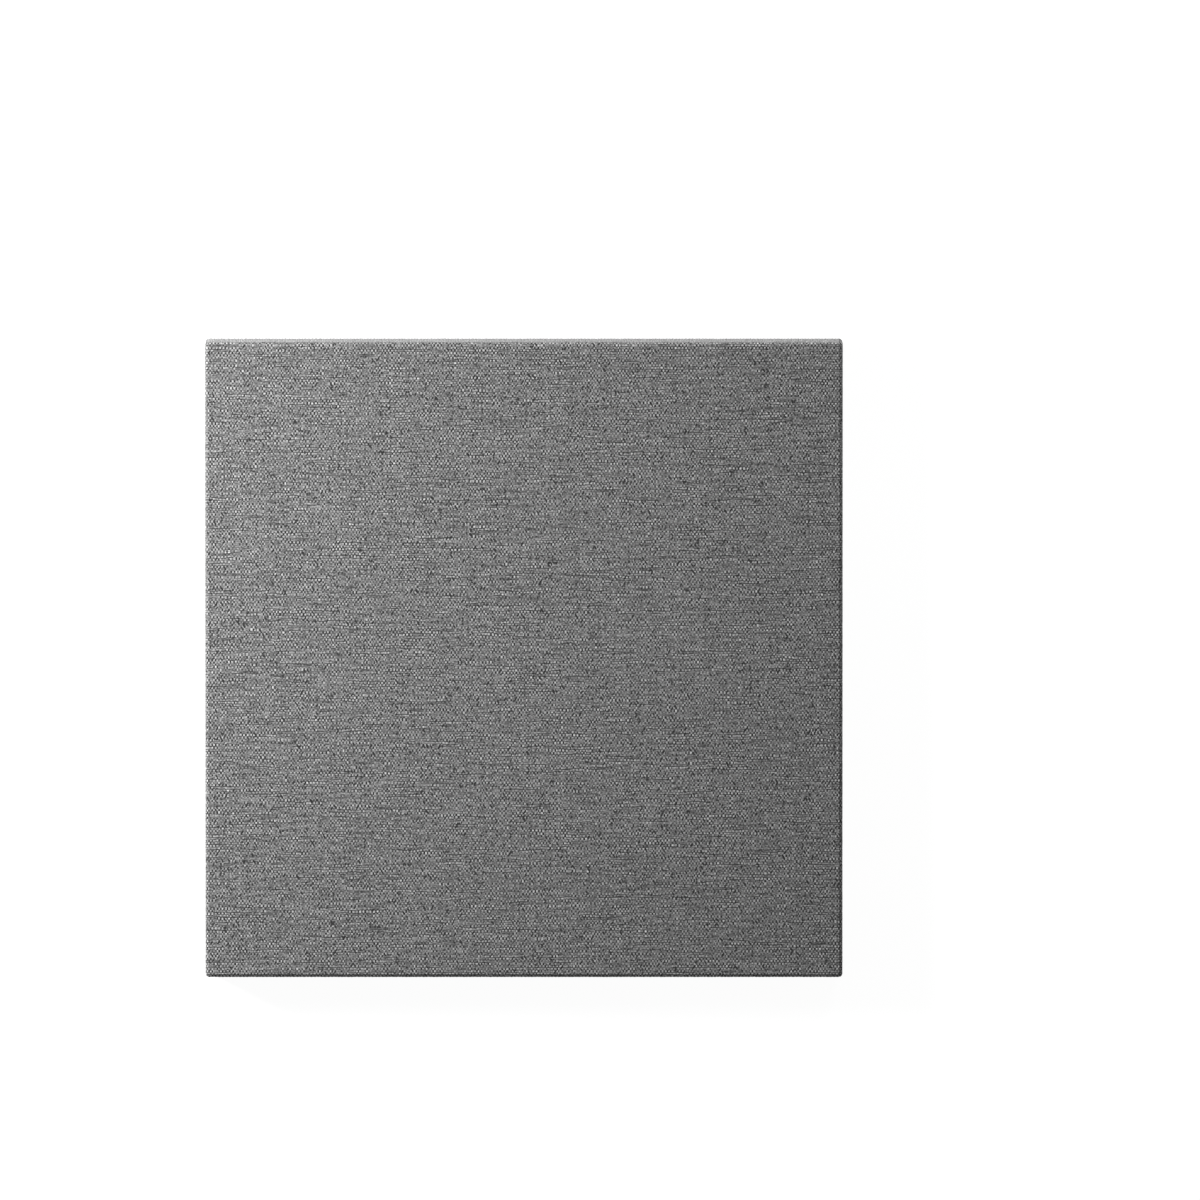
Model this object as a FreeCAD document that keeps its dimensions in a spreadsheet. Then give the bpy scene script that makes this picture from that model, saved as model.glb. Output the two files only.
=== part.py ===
"""Square acoustic wall panel: a glass wool board wrapped in woven cloth, closed at the back with a
black backing sheet and carrying four small hanging plates.

The panel lies on its back. The origin is the middle of its back, in the plane of the outer faces of
the hanging plates. +Z points out of the cloth face, +Y to the panel's top edge, +X to its right edge.
"""

import FreeCAD, Part
import os
import Sketcher
from FreeCAD import Vector

DOC = FreeCAD.newDocument("acoustic_wall_panel")

# Driving dimensions, in millimetres: (name, value, meaning)
DIMENSIONS = (
    ("panel_width", 610, "outside of the cloth, left to right"),
    ("panel_height", 610, "outside of the cloth, bottom edge to top edge"),
    ("core_depth", 50, "thickness of the glass wool board"),
    ("cloth_thickness", 1.1, "woven face cloth"),
    ("edge_radius", 3, "outside of the cloth, round every edge and corner"),
    ("flap_width", 32, "cloth turned under on the back, from the panel's side"),
    ("seam_gap", 0.5, "opening of a mitred seam, where two folded edges meet"),
    ("seam_below_face", 9, "from the face to the upper end of a corner seam"),
    ("backing_thickness", 0.8, "black backing sheet"),
    ("backing_inset", 4.4, "rim of cloth left showing round the backing sheet"),
    ("slope_run", 5, "length of the slope where the backing sheet drops off the flaps"),
    ("slope_clearance", 0.3, "between a flap's edge and the foot of that slope"),
    ("plate_length", 18, "hanging plate, along the panel's width"),
    ("plate_width", 8.5, "hanging plate, along the panel's height"),
    ("plate_thickness", 1.2, "hanging plate"),
    ("plate_corner_radius", 0.8, "upright edges of a hanging plate"),
    ("plate_rolled_edge", 0.25, "radius round a hanging plate's outer face"),
    ("plate_from_side", 19, "from the panel's side to a plate's middle"),
    ("plate_from_end", 45, "from the panel's top or bottom edge to a plate's middle"),
    ("hole_diameter", 2.7, "holes in a plate, and the pilot holes behind them"),
    ("hole_spacing", 10, "between the two holes of a plate"),
    ("pilot_depth", 12, "depth of a pilot hole in the board"),
)

# Sizes that follow from them: (name, formula, meaning)
WORKED_OUT = (
    ("flap_bottom", "=plate_thickness + backing_thickness", "height of a flap's outer side"),
    ("core_bottom", "=flap_bottom + cloth_thickness", "height of the board's back"),
    ("core_width", "=panel_width - 2 * cloth_thickness", "board, left to right"),
    ("core_height", "=panel_height - 2 * cloth_thickness", "board, bottom to top"),
    ("core_radius", "=edge_radius - cloth_thickness", "on the board's edges"),
    ("cover_depth", "=core_depth + 2 * cloth_thickness", "cloth, from flap to face"),
    ("seam_height", "=cover_depth - seam_below_face", "corner seam, up from the flaps"),
    ("seam_reach", "=2 * flap_width", "longer than a mitre, so that it opens into the window"),
    ("window_width", "=panel_width - 2 * flap_width", "opening between the flaps"),
    ("window_height", "=panel_height - 2 * flap_width", "opening between the flaps"),
    ("backing_width", "=panel_width - 2 * backing_inset", "backing sheet"),
    ("backing_height", "=panel_height - 2 * backing_inset", "backing sheet"),
    ("foot_width", "=window_width - 2 * slope_clearance", "slope, where it leaves the flaps"),
    ("foot_height", "=window_height - 2 * slope_clearance", "slope, where it leaves the flaps"),
    ("inner_width", "=foot_width - 2 * slope_run", "part of the sheet on the board"),
    ("inner_height", "=foot_height - 2 * slope_run", "part of the sheet on the board"),
    ("plate_place_x", "=panel_width / 2 - plate_from_side", "from the origin to a plate"),
    ("plate_place_y", "=panel_height / 2 - plate_from_end", "from the origin to a plate"),
)

# The four corners of the panel as (name, side across, side up)
CORNERS = (
    ("bottom_left", -1, -1),
    ("bottom_right", 1, -1),
    ("top_left", -1, 1),
    ("top_right", 1, 1),
)

SIZES = DOC.addObject("Spreadsheet::Sheet", "sizes")


def fill_sheet():
    """Write each name, value and meaning on one row, and give the value its name as an alias."""
    for row, (name, value, meaning) in enumerate(DIMENSIONS + WORKED_OUT, start=1):
        SIZES.set(f"A{row}", name)
        SIZES.set(f"B{row}", str(value))
        SIZES.setAlias(f"B{row}", name)
        SIZES.set(f"C{row}", meaning)
    DOC.recompute()


def new_body(name):
    body = DOC.addObject("PartDesign::Body", name)
    body.Label = name
    return body


def origin_plane(body, role):
    return next(f for f in body.Origin.OriginFeatures if f.Role == role)


def sketch_on(body, name, height):
    """A sketch on the body's own horizontal plane, raised to a height from the sheet."""
    sketch = body.newObject("Sketcher::SketchObject", name)
    sketch.AttachmentSupport = (origin_plane(body, "XY_Plane"), "")
    sketch.MapMode = "FlatFace"
    sketch.setExpression("AttachmentOffset.Base.z", height)
    return sketch


def tie(sketch, constraint, name, formula):
    """Add a named dimension to a sketch, and bind it to the sheet."""
    row = sketch.addConstraint(constraint)
    sketch.renameConstraint(row, name)
    sketch.setExpression(f"Constraints.{name}", formula)


def draw_loop(sketch, points):
    """Four joined lines through four points."""
    for start, end in zip(points, points[1:] + points[:1]):
        sketch.addGeometry(Part.LineSegment(start, end), False)
    for line in range(4):
        sketch.addConstraint(Sketcher.Constraint("Coincident", line, 2, (line + 1) % 4, 1))


def draw_rectangle(sketch, width, height):
    """A rectangle centred on the sketch's origin."""
    draw_loop(sketch, [Vector(x, y, 0) for x, y in ((-9, -9), (9, -9), (9, 9), (-9, 9))])
    for kind, lines in (("Horizontal", (0, 2)), ("Vertical", (1, 3))):
        for line in lines:
            sketch.addConstraint(Sketcher.Constraint(kind, line))
    sketch.addConstraint(Sketcher.Constraint("Symmetric", 0, 1, 2, 1, -1, 1))
    tie(sketch, Sketcher.Constraint("DistanceX", 0, 1, 0, 2, 18), "width", width)
    tie(sketch, Sketcher.Constraint("DistanceY", 1, 1, 1, 2, 18), "height", height)


def draw_hole_pair(sketch, place_x, place_y):
    """Two holes side by side, with their middle at a place from the sketch's origin."""
    for name, side, x in (("left", "-", 10), ("right", "+", 20)):
        hole = sketch.addGeometry(Part.Circle(Vector(x, 10, 0), Vector(0, 0, 1), 1), False)
        size = Sketcher.Constraint("Diameter", hole, 2)
        tie(sketch, size, f"{name}_size", "sizes.hole_diameter")
        across = Sketcher.Constraint("DistanceX", -1, 1, hole, 3, x)
        tie(sketch, across, f"{name}_across", f"{place_x} {side} sizes.hole_spacing / 2")
        up = Sketcher.Constraint("DistanceY", -1, 1, hole, 3, 10)
        tie(sketch, up, f"{name}_up", place_y)


def draw_mitre(sketch):
    """A slot as wide as the seam's gap, running in at 45 degrees from the top right corner."""
    draw_loop(sketch, [Vector(x, y, 0) for x, y in ((9, 8), (4, 3), (3, 4), (8, 9))])
    sketch.addConstraint(Sketcher.Constraint("Parallel", 0, 2))
    sketch.addConstraint(Sketcher.Constraint("Perpendicular", 0, 1))
    sketch.addConstraint(Sketcher.Constraint("Perpendicular", 0, 3))
    corner = sketch.addGeometry(Part.Point(Vector(9, 9, 0)), True)
    sketch.addConstraint(Sketcher.Constraint("Symmetric", 0, 1, 2, 2, corner, 1))
    quarter_turn = FreeCAD.Units.Quantity("45 deg").getValueAs("rad").Value
    sketch.addConstraint(Sketcher.Constraint("Angle", -1, 1, 2, 1, quarter_turn))
    tie(sketch, Sketcher.Constraint("Distance", 0, 7), "reach", "sizes.seam_reach")
    tie(sketch, Sketcher.Constraint("Distance", 3, 2), "gap", "sizes.seam_gap")
    across = Sketcher.Constraint("DistanceX", -1, 1, corner, 1, 9)
    tie(sketch, across, "corner_across", "sizes.panel_width / 2")
    up = Sketcher.Constraint("DistanceY", -1, 1, corner, 1, 9)
    tie(sketch, up, "corner_up", "sizes.panel_height / 2")


def pad(body, name, sketch, length):
    feature = body.newObject("PartDesign::Pad", name)
    feature.Profile = sketch
    feature.setExpression("Length", length)
    return feature


def pocket(body, name, sketch, length):
    """Cut upwards from a sketch, into the panel, and make sure that this took material away."""
    DOC.recompute()
    before = body.Shape.Volume
    feature = body.newObject("PartDesign::Pocket", name)
    feature.Profile = sketch
    feature.Reversed = True
    feature.setExpression("Length", length)
    DOC.recompute()
    if not body.Shape.Volume < before:
        raise ValueError(f"{name} cuts nothing")
    return feature


def loft(body, kind, name, lower, upper):
    feature = body.newObject(f"PartDesign::{kind}Loft", name)
    feature.Profile = lower
    feature.Sections = [upper]
    feature.Ruled = True
    return feature


def round_edges(body, name, base, wanted, radius):
    """Fillet the edges of a feature that a test picks out."""
    DOC.recompute()
    edges = enumerate(base.Shape.Edges, start=1)
    feature = body.newObject("PartDesign::Fillet", name)
    feature.Base = (base, [f"Edge{number}" for number, edge in edges if wanted(edge)])
    feature.setExpression("Radius", radius)
    return feature


def mirror_to_corners(body, name, feature):
    """Repeat a feature of the top right corner at the other three."""
    left_right = body.newObject("PartDesign::Mirrored", f"{name}_left_right")
    left_right.MirrorPlane = (origin_plane(body, "YZ_Plane"), [""])
    top_bottom = body.newObject("PartDesign::Mirrored", f"{name}_top_bottom")
    top_bottom.MirrorPlane = (origin_plane(body, "XZ_Plane"), [""])
    repeated = body.newObject("PartDesign::MultiTransform", name)
    repeated.Originals = [feature]
    repeated.Transformations = [left_right, top_bottom]
    body.Tip = repeated
    return repeated


def drill_pilot_holes(body, height, depth):
    """The two holes behind each plate, cut upwards from a height."""
    sketch = sketch_on(body, f"{body.Name}_hole_pair", height)
    draw_hole_pair(sketch, "sizes.plate_place_x", "sizes.plate_place_y")
    pair = pocket(body, f"{body.Name}_first_holes", sketch, depth)
    mirror_to_corners(body, f"{body.Name}_pilot_holes", pair)


def eased_block(name, width, height, depth, bottom, radius):
    """A body centred on the origin: a block with all twelve edges rounded by one radius."""
    body = new_body(name)
    outline = sketch_on(body, f"{name}_outline", bottom)
    draw_rectangle(outline, width, height)
    block = pad(body, f"{name}_block", outline, depth)
    round_edges(body, f"{name}_edges", block, lambda edge: True, radius)
    return body


def board_form(name):
    """The board's own form, before it is drilled."""
    return eased_block(
        name,
        "sizes.core_width",
        "sizes.core_height",
        "sizes.core_depth",
        "sizes.core_bottom",
        "sizes.core_radius",
    )


def make_core_board():
    """Glass wool board, its edges eased so that the cloth turns round them without a crease."""
    body = board_form("core_board")
    drill_pilot_holes(body, "sizes.core_bottom", "sizes.pilot_depth")
    return body


def make_fabric_cover():
    """One piece of cloth over the face and the four sides, turned under as four mitred flaps.

    It starts as a closed skin between the outside form and the board's form. A window in the back
    leaves the flaps, and a slot at each corner parts two mitred flaps and opens the seam where
    their folded edges meet, up the corner to just below the face.
    """
    outside = eased_block(
        "cover_outside",
        "sizes.panel_width",
        "sizes.panel_height",
        "sizes.cover_depth",
        "sizes.flap_bottom",
        "sizes.edge_radius",
    )
    skin = DOC.addObject("Part::Cut", "closed_skin")
    skin.Base = outside
    skin.Tool = board_form("cover_inside")
    DOC.recompute()

    body = new_body("fabric_cover")
    body.BaseFeature = skin
    window = sketch_on(body, "window_outline", "sizes.flap_bottom")
    draw_rectangle(window, "sizes.window_width", "sizes.window_height")
    pocket(body, "window", window, "sizes.cloth_thickness")
    mitre = sketch_on(body, "mitre_outline", "sizes.flap_bottom")
    draw_mitre(mitre)
    seam = pocket(body, "first_seam", mitre, "sizes.seam_height")
    mirror_to_corners(body, "corner_seams", seam)
    drill_pilot_holes(body, "sizes.flap_bottom", "sizes.cloth_thickness")
    return body


def make_backing_sheet():
    """Black sheet that lies on the flaps all round, and drops by their thickness onto the board."""
    body = new_body("backing_sheet")
    outline = sketch_on(body, "backing_outline", "sizes.plate_thickness")
    draw_rectangle(outline, "sizes.backing_width", "sizes.backing_height")
    pad(body, "sheet_on_flaps", outline, "sizes.backing_thickness")
    for kind, bottom, top in (
        ("Additive", "sizes.flap_bottom", "sizes.core_bottom"),
        ("Subtractive", "sizes.plate_thickness", "sizes.core_bottom - sizes.backing_thickness"),
    ):
        lower = sketch_on(body, f"{kind}_foot", bottom)
        draw_rectangle(lower, "sizes.foot_width", "sizes.foot_height")
        upper = sketch_on(body, f"{kind}_top", top)
        draw_rectangle(upper, "sizes.inner_width", "sizes.inner_height")
        loft(body, kind, f"{kind}_drop", lower, upper)
    drill_pilot_holes(body, "sizes.plate_thickness", "sizes.backing_thickness")
    return body


def make_hanging_plate(name, across, up):
    """Stamped steel plate with two open holes, lying on the backing sheet over a flap."""
    body = new_body(name)
    outline = sketch_on(body, f"{name}_outline", "0")
    draw_rectangle(outline, "sizes.plate_length", "sizes.plate_width")
    blank = pad(body, f"{name}_blank", outline, "sizes.plate_thickness")

    def upright(edge):
        return edge.BoundBox.ZLength > edge.BoundBox.XLength + edge.BoundBox.YLength

    def at_outer_face(edge):
        return edge.BoundBox.ZMax < SIZES.plate_thickness / 2

    corners = round_edges(body, f"{name}_corners", blank, upright, "sizes.plate_corner_radius")
    round_edges(body, f"{name}_rolled_edge", corners, at_outer_face, "sizes.plate_rolled_edge")
    holes = sketch_on(body, f"{name}_hole_pair", "0")
    draw_hole_pair(holes, "0", "0")
    pocket(body, f"{name}_holes", holes, "sizes.plate_thickness")
    body.setExpression("Placement.Base.x", f"{across} * sizes.plate_place_x")
    body.setExpression("Placement.Base.y", f"{up} * sizes.plate_place_y")
    return body


def check_document(parts):
    """Stop if anything in the document failed, or a sub-part isn't one valid solid."""
    failed = [o.Name for o in DOC.Objects if {"Invalid", "Error"} & set(o.State)]
    if failed:
        raise ValueError(f"failed to build: {failed}")
    for part in parts:
        shape = part.Shape
        if shape.isNull() or not shape.isValid() or len(shape.Solids) != 1:
            raise ValueError(f"{part.Label} isn't one valid solid")
        box = shape.BoundBox
        print(
            f"{part.Label:28s} volume {shape.Volume:12.1f} mm3, "
            f"x {box.XMin:.2f} to {box.XMax:.2f}, y {box.YMin:.2f} to {box.YMax:.2f}, "
            f"z {box.ZMin:.2f} to {box.ZMax:.2f}"
        )


def main():
    fill_sheet()
    parts = [make_core_board(), make_fabric_cover(), make_backing_sheet()]
    for corner, across, up in CORNERS:
        parts.append(make_hanging_plate(f"hanging_plate_{corner}", across, up))
    DOC.recompute()
    check_document(parts)
    os.makedirs("parts", exist_ok=True)
    for part in parts:
        part.Shape.exportStep(f"parts/{part.Label}.step")


main()
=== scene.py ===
# %% [markdown]
# # A fabric acoustic wall panel
#
# The real thing is a stiff board of glass wool with a heavy woven cloth pulled over its face and its
# four sides. The cloth is turned under at the back, where a black backing sheet covers its ends and
# four small steel plates take the hooks or screws that hang the panel.
#
# The construction is already fixed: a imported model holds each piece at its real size. This lesson
# dresses that model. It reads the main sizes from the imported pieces, so little is fitted by eye.

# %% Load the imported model
import math

import bmesh
import bpy
from mathutils import Matrix, Vector
from mathutils.noise import noise as noise_at


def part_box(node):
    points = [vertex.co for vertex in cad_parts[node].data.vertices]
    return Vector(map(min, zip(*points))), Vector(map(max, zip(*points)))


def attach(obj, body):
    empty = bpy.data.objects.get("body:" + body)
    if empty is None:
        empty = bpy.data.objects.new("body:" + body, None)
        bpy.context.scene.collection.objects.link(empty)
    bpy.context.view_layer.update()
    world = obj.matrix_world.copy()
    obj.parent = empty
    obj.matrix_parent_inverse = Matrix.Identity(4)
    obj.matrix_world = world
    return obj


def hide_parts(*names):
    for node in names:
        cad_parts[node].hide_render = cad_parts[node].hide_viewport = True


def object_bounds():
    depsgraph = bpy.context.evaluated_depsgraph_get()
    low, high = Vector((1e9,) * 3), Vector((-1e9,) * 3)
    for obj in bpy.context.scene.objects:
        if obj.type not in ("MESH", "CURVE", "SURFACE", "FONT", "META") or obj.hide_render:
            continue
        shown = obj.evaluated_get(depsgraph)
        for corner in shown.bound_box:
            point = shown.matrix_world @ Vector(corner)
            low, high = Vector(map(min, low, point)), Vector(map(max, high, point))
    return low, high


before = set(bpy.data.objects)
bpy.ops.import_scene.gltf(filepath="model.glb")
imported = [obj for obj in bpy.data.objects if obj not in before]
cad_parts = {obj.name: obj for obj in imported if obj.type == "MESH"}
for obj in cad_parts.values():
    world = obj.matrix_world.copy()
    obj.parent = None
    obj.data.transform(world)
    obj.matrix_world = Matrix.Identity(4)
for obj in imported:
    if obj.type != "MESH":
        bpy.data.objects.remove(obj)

MM = 0.001
EDGE_RADIUS = 3 * MM
packed_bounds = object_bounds()
panel_low, panel_high = packed_bounds
core_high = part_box("core_board")[1]
cover_low, cover_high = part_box("fabric_cover")
backing_low, backing_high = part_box("backing_sheet")
cloth_thickness = cover_high.z - core_high.z
panel_size = panel_high - panel_low
print("panel", [round(side / MM, 1) for side in panel_size], "mm")
print("cloth", round(cloth_thickness / MM, 2), "mm thick")

# %% [markdown]
# ## The camera
#
# The panel lies on its back, so the camera looks down on it. A long lens from far away keeps the
# sides of the square parallel, as the picture shows them. The camera leans a few degrees towards the
# top edge, which brings a thin band of the top side into view above the face.
#
# The place of the panel in the picture is given by its four edges, in pixels of a 1200-pixel frame.
# Two of them give the scale, and all four give where the camera points.

# %% Place the camera
PICTURE = 1200
EDGE_LEFT, EDGE_RIGHT = 205.7, 842.2
EDGE_TOP, EDGE_BOTTOM = 337.5, 978.2
LENS_MM = 900
SENSOR_MM = 36
LEAN = math.radians(4.3)

camera_data = bpy.data.cameras.new("camera")
camera_data.lens = LENS_MM
camera_data.sensor_width = SENSOR_MM
camera_data.clip_end = 100
camera = bpy.data.objects.new("camera", camera_data)
bpy.context.scene.collection.objects.link(camera)
bpy.context.scene.camera = camera

metres_per_pixel = panel_size.x / (EDGE_RIGHT - EDGE_LEFT)
distance = PICTURE * metres_per_pixel * LENS_MM / SENSOR_MM
towards_camera = Vector((0, math.sin(LEAN), math.cos(LEAN)))
picture_up = Vector((0, math.cos(LEAN), -math.sin(LEAN)))
top_bend = Vector((0, cover_high.y - EDGE_RADIUS, cover_low.z + EDGE_RADIUS))
bottom_bend = Vector((0, cover_low.y + EDGE_RADIUS, cover_high.z - EDGE_RADIUS))
top_edge = top_bend.dot(picture_up) + EDGE_RADIUS
bottom_edge = bottom_bend.dot(picture_up) - EDGE_RADIUS
aim_across = (PICTURE / 2 - (EDGE_LEFT + EDGE_RIGHT) / 2) * metres_per_pixel
aim_up = (top_edge + bottom_edge) / 2
aim_up += ((EDGE_TOP + EDGE_BOTTOM) / 2 - PICTURE / 2) * metres_per_pixel
face_depth = Vector((0, 0, panel_high.z)).dot(towards_camera)
aim = Vector((aim_across, 0, 0)) + picture_up * aim_up + towards_camera * face_depth
camera.location = aim + towards_camera * distance
camera.rotation_euler = (-LEAN, 0, 0)
print("camera", round(distance, 2), "m from the face,", round(1 / metres_per_pixel / 1000, 4), "px/mm")

# %% [markdown]
# ## Small helpers for node trees
#
# Geometry Nodes and materials are both trees of nodes, so a few helpers serve for both. `connect`
# puts either a number or another node's output into a socket, and `calc` adds one Math node. With
# them a formula reads almost as it would on paper.

# %% Helpers for node trees
def connect(tree, value, socket):
    """Feed a socket from another node's output, or set it to a plain value."""
    if isinstance(value, bpy.types.NodeSocket):
        tree.links.new(value, socket)
    else:
        socket.default_value = value


def add(tree, kind, outputs=0, properties=(), **inputs):
    """Add a node, set its properties, connect its inputs by name, and return one output."""
    node = tree.nodes.new(kind)
    for name, value in dict(properties).items():
        setattr(node, name, value)
    for name, value in inputs.items():
        label = name.replace("_", " ")
        socket = next(s for s in node.inputs if s.name == label and s.enabled)
        connect(tree, value, socket)
    return node.outputs[outputs]


def calc(tree, operation, *values, clamp=False):
    """Add one Math node and return its result."""
    node = tree.nodes.new("ShaderNodeMath")
    node.operation = operation
    node.use_clamp = clamp
    for value, socket in zip(values, node.inputs):
        connect(tree, value, socket)
    return node.outputs[0]


def split(tree, vector):
    """The three parts of a vector."""
    node = tree.nodes.new("ShaderNodeSeparateXYZ")
    tree.links.new(vector, node.inputs[0])
    return node.outputs


def combine(tree, x, y, z=0.0):
    """A vector from three parts."""
    node = tree.nodes.new("ShaderNodeCombineXYZ")
    for value, socket in zip((x, y, z), node.inputs):
        connect(tree, value, socket)
    return node.outputs[0]


def ramp(tree, value, low, high, to_low=0.0, to_high=1.0):
    """Stretch a value from one range to another, and hold it inside the new range."""
    node = tree.nodes.new("ShaderNodeMapRange")
    for given, socket in zip((value, low, high, to_low, to_high), node.inputs):
        connect(tree, given, socket)
    return node.outputs[0]


# %% [markdown]
# ## How the cloth is woven
#
# The cloth is a plain weave: upright threads (the warp) go over and under level threads (the weft),
# and each crossing is the opposite of its neighbours. The light warp stands proud, so the face shows
# light dots in staggered rows between darker dashes of weft.
#
# A thread is far too small to model as a tube, hundreds of times over. But the weave follows a rule,
# so a grid with one point at each crossing can carry it: a point is raised where the warp is on top,
# and low where it dives. Geometry Nodes work out the raise from the thread numbers, with a little
# unevenness for each crossing and a slow swell along each thread, because yarn is never quite round.

# %% Sizes of the weave
WARP_PITCH = 1.63 * MM
WEFT_PITCH = 2.42 * MM
WEAVE_LIFT = 0.05 * MM
WEAVE_RELIEF = 0.38 * MM
UNEVENNESS = 0.5
SWELL_ALONG = 0.12
SEED = 7

flat_low = Vector((cover_low.x + EDGE_RADIUS, cover_low.y + EDGE_RADIUS))
flat_high = Vector((cover_high.x - EDGE_RADIUS, cover_high.y - EDGE_RADIUS))
flat_width, flat_height = flat_high - flat_low
warp_count = round(flat_width / WARP_PITCH)
weft_count = 2 * round(flat_height / WEFT_PITCH / 2)
print(warp_count, "warp threads and", weft_count, "weft threads across the flat of the face")


def new_group(name, inputs, outputs):
    """An empty node group with named inputs and outputs; an input is (kind, name, default)."""
    tree = bpy.data.node_groups.new(name, "GeometryNodeTree")
    for kind, label, default in inputs:
        socket = tree.interface.new_socket(label, in_out="INPUT", socket_type=f"NodeSocket{kind}")
        if default is not None:
            socket.default_value = default
    for kind, label in outputs:
        tree.interface.new_socket(label, in_out="OUTPUT", socket_type=f"NodeSocket{kind}")
    given = tree.nodes.new("NodeGroupInput").outputs
    result = tree.nodes.new("NodeGroupOutput").inputs
    return tree, given, result


# %% Chance and smooth noise
def scaled(tree, value, factor):
    """A value times a number."""
    return calc(tree, "MULTIPLY", value, factor)


def chance_at(tree, x, y, seed):
    """An even chance from 0 to 1 for each pair of whole numbers."""
    return add(tree, "ShaderNodeTexWhiteNoise", 0, {"noise_dimensions": "3D"},
               Vector=combine(tree, x, y, seed))


def noise(tree, x, y, z=0.0, detail=1.0, roughness=0.5):
    """Smooth noise from 0 to 1 at a place. A plain number for z picks one layer of it."""
    return add(tree, "ShaderNodeTexNoise", 0, {"noise_dimensions": "3D"}, Scale=1.0, Detail=detail,
               Roughness=roughness, Vector=combine(tree, x, y, z))


# %% The rule that raises a crossing
def make_relief_group():
    tree, given, result = new_group(
        "weave_relief",
        [
            ("Float", "Warp Number", 0.0),
            ("Float", "Weft Number", 0.0),
            ("Float", "Lift", WEAVE_LIFT),
            ("Float", "Relief", WEAVE_RELIEF),
            ("Float", "Unevenness", UNEVENNESS),
            ("Int", "Seed", SEED),
        ],
        [("Float", "Raise")],
    )
    warp, weft = given["Warp Number"], given["Weft Number"]
    parity = calc(tree, "FLOORED_MODULO", calc(tree, "ADD", warp, weft), 2.0)
    warp_on_top = calc(tree, "LESS_THAN", parity, 0.5)
    chance = chance_at(tree, warp, weft, given["Seed"])
    swell = noise(tree, warp, scaled(tree, weft, SWELL_ALONG), given["Seed"])
    even_part = calc(tree, "SUBTRACT", 1.0, given["Unevenness"])
    height = calc(tree, "MULTIPLY_ADD", calc(tree, "ADD", chance, swell), given["Unevenness"], even_part)
    raised = calc(tree, "MULTIPLY", calc(tree, "MULTIPLY", warp_on_top, height), given["Relief"])
    connect(tree, calc(tree, "ADD", raised, given["Lift"]), result["Raise"])
    return tree


relief_group = make_relief_group()

# %% [markdown]
# Threads are never quite straight or evenly spaced. A second rule moves each crossing a little along
# and across, in a slow drift over many threads and a quick one from thread to thread. The drift dies
# away at the border of the face, where the cloth is pulled tight over a straight edge.

# %% The rule that makes threads wander
# How far the threads wander, in threads, and how fine the noise is that moves them, for each thread.
WARP_WANDER, WEFT_WANDER, SLOW_SCALE = 1.65, 0.5, 0.05
QUICK_WANDER, QUICK_ACROSS, QUICK_ALONG = 1.71, 0.95, 0.1
WARP_LAYER, WEFT_LAYER, QUICK_LAYER = 10.3, 30.7, 10
BORDER_THREADS = 16


def make_wander_group():
    tree, given, result = new_group(
        "thread_wander",
        [
            ("Float", "Warp Number", 0.0),
            ("Float", "Weft Number", 0.0),
            ("Float", "Warp Threads", 10.0),
            ("Float", "Weft Threads", 10.0),
            ("Float", "Wander", 1.0),
            ("Int", "Seed", SEED),
        ],
        [("Float", "Warp Shift"), ("Float", "Weft Shift")],
    )
    warp, weft = given["Warp Number"], given["Weft Number"]

    def drift(x, y, across, along, amount, layer):
        seed = calc(tree, "ADD", given["Seed"], layer)
        value = noise(tree, scaled(tree, x, across), scaled(tree, y, along), seed)
        return scaled(tree, calc(tree, "SUBTRACT", value, 0.5), amount)

    def inside(number, count):
        to_border = calc(tree, "MINIMUM", number, calc(tree, "SUBTRACT", count, number))
        return ramp(tree, calc(tree, "ABSOLUTE", to_border), 0.0, BORDER_THREADS)

    for name, x, y, count, amount, layer in (
            ("Warp Shift", warp, weft, given["Warp Threads"], WARP_WANDER, WARP_LAYER),
            ("Weft Shift", weft, warp, given["Weft Threads"], WEFT_WANDER, WEFT_LAYER)):
        slow = drift(x, y, SLOW_SCALE, SLOW_SCALE, amount, layer)
        quick = drift(x, y, QUICK_ACROSS, QUICK_ALONG, QUICK_WANDER, layer + QUICK_LAYER)
        shift = calc(tree, "MULTIPLY", calc(tree, "ADD", slow, quick), inside(x, count))
        connect(tree, calc(tree, "MULTIPLY", shift, given["Wander"]), result[name])
    return tree


wander_group = make_wander_group()


# %% Use the two rules in another tree
RELIEF_INPUTS = [
    ("Float", "Lift", WEAVE_LIFT),
    ("Float", "Relief", WEAVE_RELIEF),
    ("Float", "Unevenness", UNEVENNESS),
    ("Float", "Wander", 1.0),
    ("Int", "Seed", SEED),
    ("Material", "Cloth", None),
]


def use_wander(tree, warp, weft, given):
    """Add the wander group to a tree, and return both shifts, in threads."""
    node = tree.nodes.new("GeometryNodeGroup")
    node.node_tree = wander_group
    for name, value in (("Warp Number", warp), ("Weft Number", weft),
                        ("Warp Threads", float(warp_count)), ("Weft Threads", float(weft_count)),
                        ("Wander", given["Wander"]), ("Seed", given["Seed"])):
        connect(tree, value, node.inputs[name])
    return node.outputs["Warp Shift"], node.outputs["Weft Shift"]


def use_relief(tree, warp, weft, given):
    """Add the relief group to a tree, and return how far each crossing is raised."""
    node = tree.nodes.new("GeometryNodeGroup")
    node.node_tree = relief_group
    connect(tree, warp, node.inputs["Warp Number"])
    connect(tree, weft, node.inputs["Weft Number"])
    for name in ("Lift", "Relief", "Unevenness", "Seed"):
        connect(tree, given[name], node.inputs[name])
    return node.outputs["Raise"]


def number_threads(tree, geometry, warp, weft):
    """Keep the thread numbers on the mesh as a UV map, so that the material can follow them."""
    return add(tree, "GeometryNodeStoreNamedAttribute", 0,
               {"data_type": "FLOAT2", "domain": "CORNER"},
               Geometry=geometry, Name="threads", Value=combine(tree, warp, weft))


print("rules", relief_group.name, "and", wander_group.name)

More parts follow.
